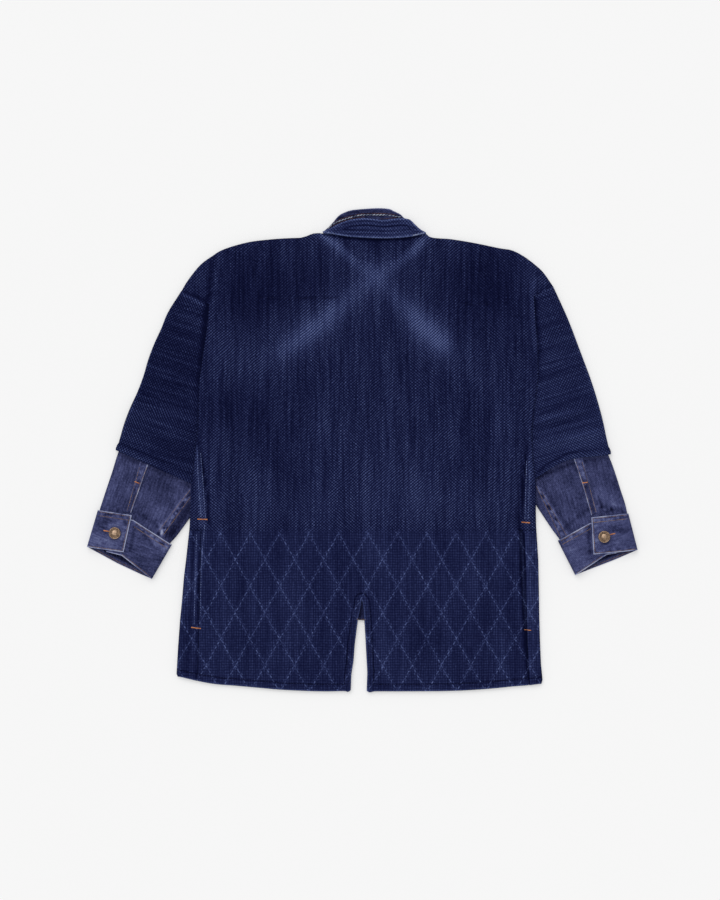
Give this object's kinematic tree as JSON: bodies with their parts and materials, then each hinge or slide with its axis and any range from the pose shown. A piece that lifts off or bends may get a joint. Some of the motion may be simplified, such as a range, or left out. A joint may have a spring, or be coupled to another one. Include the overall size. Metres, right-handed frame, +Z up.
{
  "type": "indigo sashiko jacket with denim forearms, laid flat",
  "caption": "Worn indigo sashiko cotton jacket laid flat with its back up: band collar, woven diamonds, side strips, centre vent, denim forearms and buttoned cuffs.",
  "frame": {"origin": "middle of the laid-out garment, on the surface that it lies on", "axes": "+X across the spread sleeves, towards the right of the picture; +Y from the hem towards the collar; +Z up, out of the garment's back"},
  "size_m": [0.826, 0.7262, 0.0171],
  "materials": {
    "sashiko_cloth": "indigo-dyed double-woven cotton with raised grains, faded in a cross over the back",
    "denim": "washed indigo twill with pale worn edges",
    "button_metal": "antique brass, dull and darkened in the hollows"
  },
  "bodies": {
    "root": {"back": "sashiko_cloth", "front_left": "sashiko_cloth", "front_right": "sashiko_cloth", "front_band_left": "sashiko_cloth", "front_band_right": "sashiko_cloth", "sleeve_left": "sashiko_cloth", "sleeve_right": "sashiko_cloth", "collar_band": "sashiko_cloth", "collar_inner": "denim", "denim_underlayer": "denim", "forearm_left": "denim", "forearm_right": "denim", "placket_left": "denim", "placket_right": "denim", "cuff_left": "denim", "cuff_right": "denim", "button_left": "button_metal", "button_right": "button_metal"}
  },
  "joints": []
}
